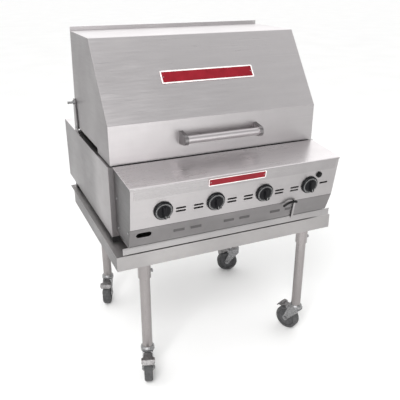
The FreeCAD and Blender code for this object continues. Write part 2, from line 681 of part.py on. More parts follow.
def igniter_button():
    cap = rod(7.6, (0, 0, -4), (0, 0, 8))
    cap = cap.makeFillet(2.0, [e for e in cap.Edges if e.BoundBox.ZMin > 7.9])
    plunger = rod(3, (0, 0, -22), (0, 0, -4))
    return on_panel(joined([cap, plunger]), IGNITER_X, IGNITER_UP)


def knob(x):
    """Round skirt with a bar grip and a pointer at its edge, on the valve stem."""
    skirt = Part.makeCone(KNOB_RADIUS, KNOB_RADIUS - 3, 8, Vector(0, 0, 2), Z_AXIS)
    collar = rod(25, (0, 0, 10), (0, 0, 13))
    grip = slot(*KNOB_GRIP, KNOB_GRIP_TALL / 2).translated(Vector(0, 0, KNOB_HEIGHT - KNOB_GRIP_TALL / 2))
    grip = grip.makeFillet(3.5, [e for e in grip.Edges if e.BoundBox.ZMin > KNOB_HEIGHT - 0.1])
    grip.rotate(Vector(0, 0, 0), Z_AXIS, KNOB_GRIP_TURN)
    pointer = block(KNOB_RADIUS - 5, KNOB_RADIUS + 3, -4, 4, 2.5, 9)
    pointer.rotate(Vector(0, 0, 0), Z_AXIS, KNOB_POINTER_TURN)
    bore = rod(STEM_RADIUS + RUNNING_GAP, (0, 0, 0), (0, 0, 19))
    return on_panel(joined([skirt, collar, grip, pointer]).cut(bore), x, KNOB_UP)


# Drip drawer
def drip_drawer():
    """Shallow tray, a full-width front strip and the post of its pull."""
    tray = block(-TRAY_HALF, TRAY_HALF, STRIP_Y + 4, TRAY_REAR, TRAY_BOTTOM, TRAY_TOP)
    hollow = block(-TRAY_HALF + SHEET, TRAY_HALF - SHEET, STRIP_Y + 6, TRAY_REAR - SHEET,
                   TRAY_BOTTOM + SHEET, TRAY_TOP + 5)
    strip = bent_sheet([(STRIP_Y, STRIP_BOTTOM), (STRIP_Y, STRIP_TOP - 8), (STRIP_Y - 3, STRIP_TOP)],
                       STRIP_HALF, bend=1.5)
    spacers = [block(x - 20, x + 20, STRIP_Y + SHEET - 0.5, STRIP_Y + 4.5, TRAY_BOTTOM, TRAY_TOP - 8)
               for x in (-380, -130, 130, 380)]
    return joined([tray.cut(hollow), strip] + spacers + [drawer_post()])


def drawer_post():
    """Flat post that rises from a foot on the strip, in front of the lower panel."""
    low, half = -8.0, POST_WIDTH / 2
    rear, front = POST_FACES
    corners = [(POST_LEAN - half, low), (POST_LEAN + half, low), (half, POST_TOP), (-half, POST_TOP)]
    points = [Vector(px, up, rear) for px, up in corners]
    bar = Part.Face(Part.makePolygon(points + points[:1])).extrude(Vector(0, 0, front - rear))
    x = POST_X + POST_LEAN
    foot = block(x - half, x + half, STRIP_Y - 5, STRIP_Y + SHEET / 2, STRIP_TOP - 8, STRIP_TOP - 3)
    return joined([on_lower_panel(bar, POST_X, 0), foot])


def drawer_pull():
    """Black arched grip fixed across the top of the post."""
    angles = [math.radians(a) for a in PULL_SPAN]
    arc_points = [Vector(PULL_RADIUS * math.cos(a), PULL_RADIUS * (math.sin(a) - 0.9), 0) for a in angles]
    path = Part.Wire([Part.Arc(*arc_points).toShape()])
    tangent = Vector(-math.sin(angles[0]), math.cos(angles[0]), 0)
    ring = Part.Wire([Part.makeCircle(PULL_THICKNESS, arc_points[0], tangent)])
    grip = path.makePipeShell([ring], True, False)
    ends = [Part.makeSphere(PULL_THICKNESS, arc_points[0]), Part.makeSphere(PULL_THICKNESS, arc_points[2])]
    grip = joined([grip] + ends)
    grip.translate(Vector(-PULL_SHIFT, POST_TOP - 5, POST_FACES[1] + PULL_THICKNESS + 0.05))
    return on_lower_panel(grip, POST_X, 0)


# Hood
def hood_shell():
    lip_top = (HOOD_TOP_REAR[0], HOOD_TOP_REAR[1] + HOOD_LIP)
    return bent_sheet([HOOD_FOOT, HOOD_BROW, HOOD_CREST, HOOD_TOP_REAR, lip_top], HOOD_HALF)


def hood_side(side):
    """Side plate inside the bent shell, with the vent notch and the hinge hole."""
    gap = SHEET + 0.05
    line = offset_line([HOOD_FOOT, HOOD_BROW, HOOD_CREST, HOOD_TOP_REAR], gap)
    line[-1] = (HOOD_TOP_REAR[0], line[-1][1])
    front, rear, height = NOTCH
    base = HOOD_FOOT[1]
    notched = [HOOD_HEEL, (rear, base), (rear, base + height), (front, base + height), (front, base)]
    outline = line + notched
    radii = [0, BEND, BEND, 0, 4, 0, 8, 8, 0]
    plate = side_profile(outline, HOOD_HALF - SHEET, HOOD_HALF, radii)
    plate = plate.cut(rod(HINGE_RADIUS + RUNNING_GAP, (HOOD_HALF - 9, *HINGE), (HOOD_HALF + 9, *HINGE)))
    return plate if side > 0 else plate.mirror(Vector(0, 0, 0), X_AXIS)


def hood_rear():
    inside = HOOD_HALF - SHEET - 0.05
    top = (HOOD_TOP_REAR[0] + 0.2, HOOD_TOP_REAR[1] - SHEET - 0.3)
    return bent_sheet([top, HOOD_HEEL], inside)


def hood_handle():
    """Round bar between two cast end brackets that are round at the front and taller at the hood."""
    wall_y = HOOD_FOOT[0]
    bar_y = wall_y - HANDLE_STANDOFF
    ends = []
    for inner in (-HANDLE_HALF, HANDLE_HALF - HANDLE_END):
        nose = rod(HANDLE_NOSE, (inner, bar_y, HANDLE_Z), (inner + HANDLE_END, bar_y, HANDLE_Z))
        outline = [(bar_y, HANDLE_Z - HANDLE_NOSE), (wall_y, HANDLE_Z - HANDLE_ROOT),
                   (wall_y, HANDLE_Z + HANDLE_ROOT), (bar_y, HANDLE_Z + HANDLE_NOSE)]
        ends.append(joined([nose, side_profile(outline, inner, inner + HANDLE_END)]))
    bar_half = HANDLE_HALF - HANDLE_END / 2
    bar = rod(HANDLE_RADIUS, (-bar_half, bar_y, HANDLE_Z), (bar_half, bar_y, HANDLE_Z))
    return joined([bar] + ends)


def badge_plate(width, height):
    """Blank name plate on the XY plane."""
    plate = block(-width / 2, width / 2, -height / 2, height / 2, 0.05, 1.6)
    return plate.makeFillet(4.0, [e for e in plate.Edges if e.BoundBox.ZLength > 1])


def hood_badge():
    rise = HOOD_CREST[1] - HOOD_BROW[1]
    run = HOOD_CREST[0] - HOOD_BROW[0]
    slope = math.degrees(math.atan2(run, rise))
    return on_sloped_sheet(badge_plate(*HOOD_BADGE), 0, HOOD_BADGE_UP, HOOD_BROW, -slope)


def panel_badge():
    """Plate on the ledge's front flange."""
    plate = badge_plate(*PANEL_BADGE).translated(Vector(0, 0, SHEET + 0.2))
    return on_panel(plate, PANEL_BADGE_X, PANEL_LENGTH - PANEL_BADGE_DROP)


# Hinge
def hinge_brackets():
    """Narrow upright outside each side of the hood, with a toe on the side panel's top flange."""
    y, z = HINGE
    heel, reach = FIREBOX_REAR, 15.0
    outline = [(heel - 54, BODY_TOP), (heel, BODY_TOP), (y + reach, BRACKET_TOP), (y - reach, BRACKET_TOP)]
    outer = BRACKET_INNER + BRACKET_PLATE
    plate = side_profile(outline, BRACKET_INNER, outer, [0, 0, 12, 12])
    toe = block(BRACKET_INNER, BODY_HALF - 2, heel - 86, heel, BODY_TOP, BODY_TOP + 3)
    bracket = joined([plate, toe]).cut(rod(HINGE_RADIUS + 0.02, (outer - 20, y, z), (outer + 20, y, z)))
    return Part.makeCompound([bracket, bracket.mirror(Vector(0, 0, 0), X_AXIS)])


def hood_stop_rail():
    """Angle that the open hood lies on, and its two supports on the rear deck."""
    front = STOP_REAR - STOP_ANGLE
    line = [(front, STOP_TOP), (STOP_REAR, STOP_TOP), (STOP_REAR, STOP_TOP - STOP_ANGLE)]
    rail = bent_sheet(line, STOP_HALF)
    supports = []
    for x in (-STOP_HALF, STOP_HALF - STOP_FOOT):
        rear = STOP_REAR - SHEET
        upright = block(x, x + STOP_FOOT, rear - 3, rear, BODY_TOP, STOP_TOP - SHEET - BEND)
        foot = block(x, x + STOP_FOOT, front, rear, BODY_TOP, BODY_TOP + 3)
        supports.append(joined([upright, foot]))
    return Part.makeCompound([rail] + supports)


def hinge_pins():
    """Long pivot bolt at each side, with a collar against the bracket."""
    pins = []
    y, z = HINGE
    outer = BRACKET_INNER + BRACKET_PLATE
    for side in (-1, 1):
        shaft = rod(HINGE_RADIUS, (side * (HOOD_HALF - 12), y, z), (side * HINGE_END, y, z))
        collar = rod(9, (side * outer, y, z), (side * (outer + 5), y, z))
        washer = rod(8, (side * (HOOD_HALF + 0.4), y, z), (side * (BRACKET_INNER - 0.05), y, z))
        pins.append(joined([shaft, collar, washer]))
    return Part.makeCompound(pins)


def socket_screw(x, y):
    """Set screw with a hexagon head in the right-hand side of a leg socket."""
    z = STAND_TOP - SOCKET_DROP + 22
    start = x + SOCKET_RADIUS - 3
    bolt = rod(4, (start, y, z), (start + 9, y, z))
    cap = hexagon(7.5, 5)
    cap.rotate(Vector(0, 0, 0), Z_AXIS, -90)
    cap.translate(Vector(start + 6, y, z))
    return joined([bolt, cap]).cut(rod(SOCKET_RADIUS, (x, y, z - 20), (x, y, z + 20)))


def side_screw(side, face, y, z, radius):
    """Flat round head on an outer face that stands face millimetres from the middle."""
    return rod(radius, (side * face, y, z), (side * (face + 2.5), y, z))


def screws():
    """Set screws of the leg sockets, and the screws of the brackets and end caps."""
    heads = [socket_screw(x, y) for x, y in leg_places()]
    for side in (-1, 1):
        heads.append(side_screw(side, BRACKET_INNER + BRACKET_PLATE, FIREBOX_REAR - 26, STAND_TOP + 322, 5))
        for y, up in ((100, 190), (-20, 100), (100, 70)):
            heads.append(side_screw(side, BOX_HALF, y, STAND_TOP + up, 4.5))
    return Part.makeCompound(heads)


def all_pieces():
    """Every node's name and shape, in the building frame."""
    pieces = {
        "stand_top": stand_top(), "apron_front": apron_front(), "apron_rear": apron_rear(),
        "apron_sides": apron_sides(), "leg_sockets": leg_sockets(), "stand_legs": stand_legs(),
        "caster_stems": caster_stems(), "side_panel_left": side_panel(-1), "side_panel_right": side_panel(1),
        "rear_panel": rear_panel(), "front_bulkhead": front_bulkhead(),
        "firebox_rear_wall": firebox_rear_wall(), "floor_pan": floor_pan(), "rear_deck": rear_deck(),
        "body_feet": body_feet(),
        "grate_rails": grate_rails(), "cooking_grates": cooking_grates(), "radiants": radiants(),
        "burners": burners(), "gas_manifold": gas_manifold(), "gas_valves": gas_valves(),
        "control_ledge": control_ledge(), "control_panel": control_panel(), "lower_panel": lower_panel(),
        "control_end_caps": control_end_caps(), "igniter_body": igniter_body(),
        "igniter_button": igniter_button(), "drip_drawer": drip_drawer(), "drawer_pull": drawer_pull(),
        "hood_shell": hood_shell(), "hood_side_left": hood_side(-1), "hood_side_right": hood_side(1),
        "hood_rear": hood_rear(), "hood_handle": hood_handle(), "hood_badge": hood_badge(),
        "panel_badge": panel_badge(), "hinge_brackets": hinge_brackets(), "hood_stop_rail": hood_stop_rail(),
        "hinge_pins": hinge_pins(), "screws": screws(),
    }
    for i, x in enumerate(KNOB_X):
        pieces["knob_%d" % (i + 1)] = knob(x)
    makers = {"caster_fork": caster_fork, "caster_tyre": caster_tyre, "caster_hub": caster_hub,
              "brake_pedal": brake_pedal}
    for part_name, make in makers.items():
        shape = make()
        for place in CASTERS:
            pieces["%s_%s" % (part_name, place)] = placed_caster(shape, place)
    return pieces


def origin_shift(pieces):
    """Move that puts the origin on the floor in the middle of the footprint."""
    box = Part.makeCompound(list(pieces.values())).BoundBox
    return Vector(-(box.XMin + box.XMax) / 2, -(box.YMin + box.YMax) / 2, -box.ZMin)


def main():
    pieces = all_pieces()
    shift = origin_shift(pieces)
    os.makedirs("parts", exist_ok=True)
    for name, shape in pieces.items():
        shape.translated(shift).exportStep("parts/%s.step" % name)
    print("pieces", len(pieces), "shift", [round(v, 3) for v in shift])


if __name__ == "__main__":
    main()
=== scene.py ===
"""The looks of the charbroiler grill: finishes, knobs, name plates, wheel faces and tread lines.

Metres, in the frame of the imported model: +X is the operator's right, +Y is the back, +Z is up,
and the origin is on the floor in the middle of the footprint.
"""
import json
import math

import bmesh
import bpy
from mathutils import Matrix, Vector

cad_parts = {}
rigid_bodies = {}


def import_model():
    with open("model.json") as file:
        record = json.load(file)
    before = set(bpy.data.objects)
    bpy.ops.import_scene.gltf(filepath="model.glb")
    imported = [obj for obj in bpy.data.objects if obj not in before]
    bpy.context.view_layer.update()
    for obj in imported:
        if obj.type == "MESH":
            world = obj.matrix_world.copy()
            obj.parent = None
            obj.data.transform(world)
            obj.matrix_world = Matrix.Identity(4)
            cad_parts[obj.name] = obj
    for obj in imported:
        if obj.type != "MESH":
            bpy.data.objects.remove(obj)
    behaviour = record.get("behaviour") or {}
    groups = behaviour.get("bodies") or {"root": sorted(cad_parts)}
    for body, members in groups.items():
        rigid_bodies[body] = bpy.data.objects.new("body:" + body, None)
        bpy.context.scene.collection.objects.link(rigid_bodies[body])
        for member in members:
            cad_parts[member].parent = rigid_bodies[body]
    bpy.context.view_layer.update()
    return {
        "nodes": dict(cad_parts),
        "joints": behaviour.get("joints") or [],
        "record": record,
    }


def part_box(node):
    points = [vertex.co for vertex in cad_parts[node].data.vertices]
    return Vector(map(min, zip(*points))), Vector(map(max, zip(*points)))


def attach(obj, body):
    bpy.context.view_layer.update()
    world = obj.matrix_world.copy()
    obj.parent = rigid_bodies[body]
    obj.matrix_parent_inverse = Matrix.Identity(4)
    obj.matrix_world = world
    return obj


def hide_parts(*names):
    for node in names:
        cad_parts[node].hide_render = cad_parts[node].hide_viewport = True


PLACES = ("front_left", "front_right", "rear_left", "rear_right")
MM = 0.001

# Camera: where a standing person sees the grill from its left front corner
CAMERA_AT = (-0.893, -2.0753, 1.5275)
CAMERA_AZIMUTH = -24.354
CAMERA_ELEVATION = 22.993
CAMERA_ROLL = 0.13
CAMERA_LENS = 47.9

# Knob, in millimetres from the panel's outer face
KNOB_RADIUS = 36.0
KNOB_FOOT = 2.2
KNOB_RIM = 10.0
KNOB_TOP = 25.0
GRIP_TURN = 98.0
POINTER_TURN = -54.0
TICK_COUNT = 40

# Studio: strength of the white walls, and their shading high up on the front side
WORLD_STRENGTH = 1.29
HIGH_SHADE = 0.82
HIGH_BAND = (0.15, 0.75)      # heights on the unit sphere between which the shade comes on
FRONT_BAND = (-0.7, 0.1)      # depths on the unit sphere between which it fades
LAMPS = {                     # place, the point it faces, size, and watts
    "key": ((-1.8, -2.6, 3.2), (0, 0, 0.8), (1.6, 1.6), 105.0),
    "front": ((0.1, -3.2, 0.75), (0, 0, 0.9), (1.5, 1.3), 9.0),
}

# Angles from upright of the hood's slope (203 back for 281 up) and of the control panel (26.5 for 164)
HOOD_SLOPE = math.atan2(203.0, 281.0)
PANEL_LEAN = math.atan2(26.5, 164.0)

# Name plates, in millimetres: width and height, pale border, and half of the thickness
HOOD_BADGE_SIZE = (394, 53)
HOOD_BADGE_BORDER = 5.0
PANEL_BADGE_SIZE = (236, 30)
PANEL_BADGE_BORDER = 3.0
BADGE_HALF_THICKNESS = 0.8

EDGE_BEVEL = 0.5 * MM
FLOOR_SIZE = 160
SENSOR_WIDTH = 36.0
BOX_REACH = 0.44              # half-width over which the painted shade on a sheet's front faces runs from left to right
PAINTED_SHEEN_BAND = (-0.12, -0.02)   # depths between which the painted sheen on the side panels fades
HANDLE_ENDS = (0.1495, 0.1515)   # where the bar meets its end brackets, past which they take a painted shade


# Node trees
def new_tree(name):
    material = bpy.data.materials.new(name)
    material.use_nodes = True
    tree = material.node_tree
    shader = tree.nodes["Principled BSDF"]
    return material, tree, shader


def object_place(tree):
    return tree.nodes.new("ShaderNodeTexCoord").outputs["Object"]


def noise(tree, place, stretch=(1, 1, 1), scale=10.0, detail=3.0, roughness=0.5):
    mapping = tree.nodes.new("ShaderNodeMapping")
    mapping.inputs["Scale"].default_value = stretch
    texture = tree.nodes.new("ShaderNodeTexNoise")
    texture.inputs["Scale"].default_value = scale
    texture.inputs["Detail"].default_value = detail
    texture.inputs["Roughness"].default_value = roughness
    tree.links.new(place, mapping.inputs["Vector"])
    tree.links.new(mapping.outputs["Vector"], texture.inputs["Vector"])
    return texture.outputs["Fac"]


def spread(tree, value, low, high, start=0.3, end=0.7):
    """Maps the value's start to end onto low to high, and clamps it."""
    node = tree.nodes.new("ShaderNodeMapRange")
    for name, number in (("From Min", start), ("From Max", end), ("To Min", low), ("To Max", high)):
        node.inputs[name].default_value = number
    tree.links.new(value, node.inputs["Value"])
    return node.outputs["Result"]


def arithmetic(tree, kind, first, second):
    node = tree.nodes.new("ShaderNodeMath")
    node.operation = kind
    for socket, value in zip(node.inputs, (first, second)):
        if isinstance(value, (int, float)):
            socket.default_value = value
        else:
            tree.links.new(value, socket)
    return node.outputs["Value"]


def colour_mix(tree, factor, first, second):
    node = tree.nodes.new("ShaderNodeMix")
    node.data_type = "RGBA"
    tree.links.new(factor, node.inputs["Factor"])
    for name, value in (("A", first), ("B", second)):
        socket = next(s for s in node.inputs if s.name == name and s.type == "RGBA")
        if isinstance(value, tuple):
            socket.default_value = (*value, 1.0)
        else:
            tree.links.new(value, socket)
    return next(s for s in node.outputs if s.type == "RGBA")


def bump(tree, shader, height, strength, distance):
    node = tree.nodes.new("ShaderNodeBump")
    node.inputs["Strength"].default_value = strength
    node.inputs["Distance"].default_value = distance
    tree.links.new(height, node.inputs["Height"])
    tree.links.new(node.outputs["Normal"], shader.inputs["Normal"])


def tinted(colour, share):
    return tuple(c * share for c in colour)


# Finishes
GRAIN = {"x": (0.02, 1.0, 1.0), "y": (1.0, 0.02, 1.0), "z": (1.0, 1.0, 0.02)}


def split_axis(tree, vector, axis):
    split = tree.nodes.new("ShaderNodeSeparateXYZ")
    tree.links.new(vector, split.inputs["Vector"])
    return split.outputs[axis]


def blend(tree, mask, first, second):
    """first where the mask is 0, second where it is 1."""
    kept = arithmetic(tree, "MULTIPLY", first, arithmetic(tree, "SUBTRACT", 1.0, mask))
    return arithmetic(tree, "ADD", kept, arithmetic(tree, "MULTIPLY", second, mask))


def painted_shade_tones(left, right, slope=1.0):
    """Painted shade: a tone on front faces that runs from their left to their right end, and a darker tone on
    sloping faces; other faces stay at 1.
    """
    def tones(tree, place):
        facing = split_axis(tree, tree.nodes.new("ShaderNodeTexCoord").outputs["Normal"], "Y")
        front = spread(tree, facing, 1.0, 0.0, -0.95, -0.88)
        sloping = spread(tree, facing, slope, 1.0, -0.6, -0.3)
        across = spread(tree, split_axis(tree, place, "X"), left, right, -BOX_REACH, BOX_REACH)
        return blend(tree, front, sloping, across)
    return tones


def painted_sheen_tones(rear, front, start, end):
    """Painted sheen: a painted reflection that leaves the front part of a side sheet paler and falls off
    towards its rear.
    """
    def tones(tree, place):
        return spread(tree, split_axis(tree, place, "Y"), front, rear, start, end)
    return tones


def painted_louvre_shade(tree, _):
    """Painted shade: a darker tone on the louvre lips, whose faces point further up than the sheet they hood.
    """
    upward = split_axis(tree, tree.nodes.new("ShaderNodeTexCoord").outputs["Normal"], "Z")
    return spread(tree, upward, 1.0, 0.5, -0.28, -0.12)


def painted_end_shade(start, end, tone):
    """Painted shade: a darker tone beyond a distance from the middle, on the bar's end brackets."""
    def tones(tree, place):
        distance = arithmetic(tree, "ABSOLUTE", split_axis(tree, place, "X"), 0.0)
        return spread(tree, distance, 1.0, tone, start, end)
    return tones


def brushed_steel(name, colour, roughness, grain, cloud=0.10, depth=0.25, tones=None):
    """Sheet steel with brush lines along one axis, soft smudges, a few pale scuffs and, where given, larger
    painted light and shade.
    """
    material, tree, shader = new_tree(name)
    place = object_place(tree)
    lines = noise(tree, place, GRAIN[grain], scale=420.0, detail=5.0, roughness=0.65)
    bands = noise(tree, place, GRAIN[grain], scale=60.0, detail=3.0)
    smudges = noise(tree, place, scale=4.5, detail=4.0, roughness=0.6)
    scuffs = noise(tree, place, GRAIN[grain], scale=150.0, detail=1.0)
    tone = spread(tree, smudges, 1.0 - cloud, 1.0)
    tone = arithmetic(tree, "MULTIPLY", tone, spread(tree, bands, 0.972, 1.0))
    tone = arithmetic(tree, "MULTIPLY", tone, spread(tree, lines, 0.965, 1.0))
    if tones:
        tone = arithmetic(tree, "MULTIPLY", tone, tones(tree, place))
    base = colour_mix(tree, tone, (0.0, 0.0, 0.0), colour)
    bright = tuple(min(1.0, c * 1.12) for c in colour)
    base = colour_mix(tree, spread(tree, scuffs, 0.0, 0.15, 0.68, 0.8), base, bright)
    rough = arithmetic(tree, "ADD", spread(tree, smudges, roughness + 0.05, roughness - 0.04),
                       spread(tree, lines, -0.05, 0.07))
    tree.links.new(base, shader.inputs["Base Color"])
    tree.links.new(rough, shader.inputs["Roughness"])
    shader.inputs["Metallic"].default_value = 1.0
    bump(tree, shader, lines, depth, 0.0002)
    return material


def plated_steel(name, colour, roughness):
    """Worn zinc plate: finely mottled light and dark, with duller patches."""
    material, tree, shader = new_tree(name)
    place = object_place(tree)
    mottle = noise(tree, place, scale=240.0, detail=4.0, roughness=0.7)
    dull = noise(tree, place, scale=28.0, detail=3.0)
    base = colour_mix(tree, spread(tree, mottle, 0.0, 1.0, 0.4, 0.62), tinted(colour, 0.42), colour)
    tree.links.new(base, shader.inputs["Base Color"])
    tree.links.new(spread(tree, dull, roughness - 0.08, roughness + 0.15), shader.inputs["Roughness"])
    shader.inputs["Metallic"].default_value = 1.0
    bump(tree, shader, mottle, 0.2, 0.0003)
    return material


def heated_steel(name, colour):
    """Firebox steel with straw heat tint and soot."""
    material, tree, shader = new_tree(name)
    place = object_place(tree)
    heat = noise(tree, place, scale=7.0, detail=4.0)
    soot = noise(tree, place, scale=22.0, detail=5.0, roughness=0.7)
    base = colour_mix(tree, spread(tree, heat, 0.0, 1.0), colour, (0.42, 0.30, 0.18))
    base = colour_mix(tree, spread(tree, soot, 0.0, 0.8, 0.45, 0.7), base, (0.07, 0.065, 0.06))
    tree.links.new(base, shader.inputs["Base Color"])
    tree.links.new(spread(tree, soot, 0.4, 0.75), shader.inputs["Roughness"])
    shader.inputs["Metallic"].default_value = 0.85
    bump(tree, shader, soot, 0.25, 0.0006)
    return material


def cast_iron(name, colour):
    """Sand-cast iron, seasoned: dark, pitted and slightly oily."""
    material, tree, shader = new_tree(name)
    place = object_place(tree)
    pits = noise(tree, place, scale=320.0, detail=5.0, roughness=0.75)
    oil = noise(tree, place, scale=18.0, detail=3.0)
    base = colour_mix(tree, spread(tree, oil, 0.0, 1.0), tinted(colour, 0.6), tinted(colour, 1.5))
    tree.links.new(base, shader.inputs["Base Color"])
    tree.links.new(spread(tree, oil, 0.38, 0.68), shader.inputs["Roughness"])
    shader.inputs["Metallic"].default_value = 0.55
    bump(tree, shader, pits, 0.6, 0.0008)
    return material


def moulded_plastic(name, colour, roughness, speckle=1.25, shine=0.45):
    """Moulded plastic with a fine texture, handling shine and a little dust."""
    material, tree, shader = new_tree(name)
    place = object_place(tree)
    texture = noise(tree, place, scale=900.0, detail=2.0)
    wear = noise(tree, place, scale=45.0, detail=4.0, roughness=0.65)
    base = colour_mix(tree, spread(tree, wear, 0.0, 1.0), colour, tinted(colour, speckle))
    tree.links.new(base, shader.inputs["Base Color"])
    tree.links.new(spread(tree, wear, roughness + 0.08, roughness - 0.08), shader.inputs["Roughness"])
    shader.inputs["Specular IOR Level"].default_value = shine
    bump(tree, shader, texture, 0.2, 0.0003)
    return material


def worn_rubber(name, colour, dust):
    """Wheel rubber: matt, with scuffs and floor dust."""
    material, tree, shader = new_tree(name)
    place = object_place(tree)
    grain = noise(tree, place, scale=700.0, detail=3.0, roughness=0.7)
    scuffs = noise(tree, place, scale=75.0, detail=5.0, roughness=0.75)
    base = colour_mix(tree, spread(tree, scuffs, 0.0, 0.7, 0.42, 0.72), colour, dust)
    tree.links.new(base, shader.inputs["Base Color"])
    tree.links.new(spread(tree, scuffs, 0.55, 0.8), shader.inputs["Roughness"])
    bump(tree, shader, grain, 0.35, 0.0005)
    return material


def enamel(name, colour):
    """Glossy stove enamel with slight orange peel."""
    material, tree, shader = new_tree(name)
    place = object_place(tree)
    peel = noise(tree, place, scale=500.0, detail=1.0)
    tone = noise(tree, place, scale=30.0, detail=3.0)
    base = colour_mix(tree, spread(tree, tone, 0.0, 1.0), tinted(colour, 0.85), tinted(colour, 1.1))
    tree.links.new(base, shader.inputs["Base Color"])
    tree.links.new(spread(tree, tone, 0.34, 0.46), shader.inputs["Roughness"])
    shader.inputs["Specular IOR Level"].default_value = 0.25
    bump(tree, shader, peel, 0.1, 0.0002)
    return material


def brass(name, colour):
    material, tree, shader = new_tree(name)
    place = object_place(tree)
    tarnish = noise(tree, place, scale=55.0, detail=4.0, roughness=0.65)
    base = colour_mix(tree, spread(tree, tarnish, 0.0, 1.0), colour, tinted(colour, 0.55))
    tree.links.new(base, shader.inputs["Base Color"])
    tree.links.new(spread(tree, tarnish, 0.28, 0.5), shader.inputs["Roughness"])
    shader.inputs["Metallic"].default_value = 1.0
    bump(tree, shader, tarnish, 0.15, 0.0003)
    return material


def floor_finish():
    material, tree, shader = new_tree("floor_finish")
    place = object_place(tree)
    tone = noise(tree, place, scale=1.5, detail=2.0)
    base = colour_mix(tree, spread(tree, tone, 0.0, 1.0), (0.90, 0.90, 0.895), (0.93, 0.93, 0.925))
    tree.links.new(base, shader.inputs["Base Color"])
    shader.inputs["Roughness"].default_value = 0.7
    return material


def make_finishes():
    # One brushed stainless in lit and shaded copies: each copy's colour holds painted light or shade for
    # where it sits, paler on the deck's top, darker on the side sheets, aprons, end caps and lower panel.
    body = (0.746, 0.716, 0.724)
    side = (0.268, 0.254, 0.258)
    stand = (0.400, 0.386, 0.384)
    return {
        "body_stainless": brushed_steel("hood_front_painted_shade_finish", body, 0.34, "x",
                                        tones=painted_shade_tones(0.722, 0.617, slope=0.87)),
        "side_stainless": brushed_steel("side_painted_shade_finish", side, 0.36, "y", cloud=0.12),
        "firebox_side_stainless": brushed_steel("firebox_side_finish", tinted(side, 1.24), 0.34, "y",
                                                tones=painted_sheen_tones(0.63, 1.0, *PAINTED_SHEEN_BAND)),
        "deck_stainless": brushed_steel("deck_painted_light_finish", (0.85, 0.816, 0.824), 0.29, "x", cloud=0.14,
                                        tones=painted_shade_tones(0.51, 0.44)),
        "panel_stainless": brushed_steel("panel_painted_shade_finish", (0.475, 0.456, 0.460), 0.34, "x",
                                         tones=painted_shade_tones(1.0, 0.86)),
        "lower_stainless": brushed_steel("lower_panel_finish", (0.246, 0.236, 0.238), 0.36, "x", cloud=0.2,
                                         tones=painted_louvre_shade),
        "cap_stainless": brushed_steel("end_cap_painted_shade_finish", (0.120, 0.116, 0.117), 0.40, "y", cloud=0.2),
        "strip_stainless": brushed_steel("strip_finish", (0.393, 0.381, 0.382), 0.34, "x", cloud=0.12),
        "apron_side_stainless": brushed_steel("apron_side_finish", (0.168, 0.160, 0.161), 0.38, "y",
                                              cloud=0.16),
        "stand_stainless": brushed_steel("stand_finish", stand, 0.38, "x", cloud=0.14),
        "tube_stainless": brushed_steel("tube_finish", (0.335, 0.314, 0.312), 0.30, "z", cloud=0.2,
                                        depth=0.4),
        "handle_steel": brushed_steel("handle_painted_shade_finish", (0.585, 0.556, 0.565), 0.30, "x", cloud=0.06,
                                      tones=painted_end_shade(*HANDLE_ENDS, 0.42)),
        "plated_steel": plated_steel("plated_finish", (0.42, 0.42, 0.425), 0.48),
        "pedal_steel": plated_steel("pedal_finish", (0.30, 0.29, 0.29), 0.5),
        "pipe_steel": moulded_plastic("pipe_finish", (0.05, 0.05, 0.05), 0.5),
        "firebox_steel": heated_steel("firebox_finish", (0.42, 0.40, 0.38)),
        "grate_iron": cast_iron("grate_finish", (0.06, 0.06, 0.06)),
        "valve_brass": brass("valve_finish", (0.72, 0.52, 0.26)),
        "dark_steel": moulded_plastic("foot_finish", (0.010, 0.010, 0.010), 0.6, shine=0.15),
        "wheel_rubber": worn_rubber("tyre_finish", (0.040, 0.040, 0.042), (0.12, 0.12, 0.12)),
        "wheel_hub": moulded_plastic("hub_finish", (0.055, 0.055, 0.057), 0.6, speckle=1.7, shine=0.25),
        "knob_plastic": moulded_plastic("knob_finish", (0.005, 0.005, 0.006), 0.38, speckle=1.6, shine=0.12),
        "knob_dial": moulded_plastic("knob_dial_finish", (0.042, 0.042, 0.044), 0.5, speckle=1.6, shine=0.2),
        "knob_print": moulded_plastic("knob_print_finish", (0.42, 0.42, 0.41), 0.5, speckle=0.8),
        "black_plastic": moulded_plastic("black_plastic_finish", (0.006, 0.006, 0.006), 0.35, shine=0.15),
        "badge_enamel": enamel("badge_finish", (0.20, 0.004, 0.012)),
        "badge_border": enamel("badge_border_finish", (0.78, 0.76, 0.75)),
    }


NODE_FINISH = {
    "hood_side_left": "side_stainless",
    "hood_side_right": "side_stainless",
    "hinge_brackets": "side_stainless",
    "side_panel_left": "firebox_side_stainless",
    "side_panel_right": "firebox_side_stainless",
    "control_end_caps": "cap_stainless",
    "control_ledge": "deck_stainless",
    "control_panel": "panel_stainless",
    "lower_panel": "lower_stainless",
    "drip_drawer": "strip_stainless",
    "apron_sides": "apron_side_stainless",
    "rear_deck": "deck_stainless",
    "stand_legs": "tube_stainless",
    "leg_sockets": "tube_stainless",
}
CRISP = ("cooking_grates", "gas_valves", "burners", "radiants")


def finish_cad_nodes(frame, finishes):
    """Every carried-over node gets its finish, and all but the grates, gas valves, burners and radiants get a
    small bevel that catches the light.
    """
    slots = {s["node"]: s["material_slot"] for s in frame["record"]["subparts"]}
    for name, node in frame["nodes"].items():
        node.data.materials.clear()
        node.data.materials.append(finishes[NODE_FINISH.get(name, slots[name])])
        if name in CRISP:
            continue
        bevel = node.modifiers.new("edge", "BEVEL")
        bevel.width = EDGE_BEVEL
        bevel.segments = 2
        bevel.limit_method = "ANGLE"
        bevel.angle_limit = math.radians(40)


# Mesh helpers
def add_object(name, mesh_data, finishes_used):
    thing = bpy.data.objects.new(name, mesh_data)
    bpy.context.scene.collection.objects.link(thing)
    for finish in finishes_used:
        mesh_data.materials.append(finish)
    return thing


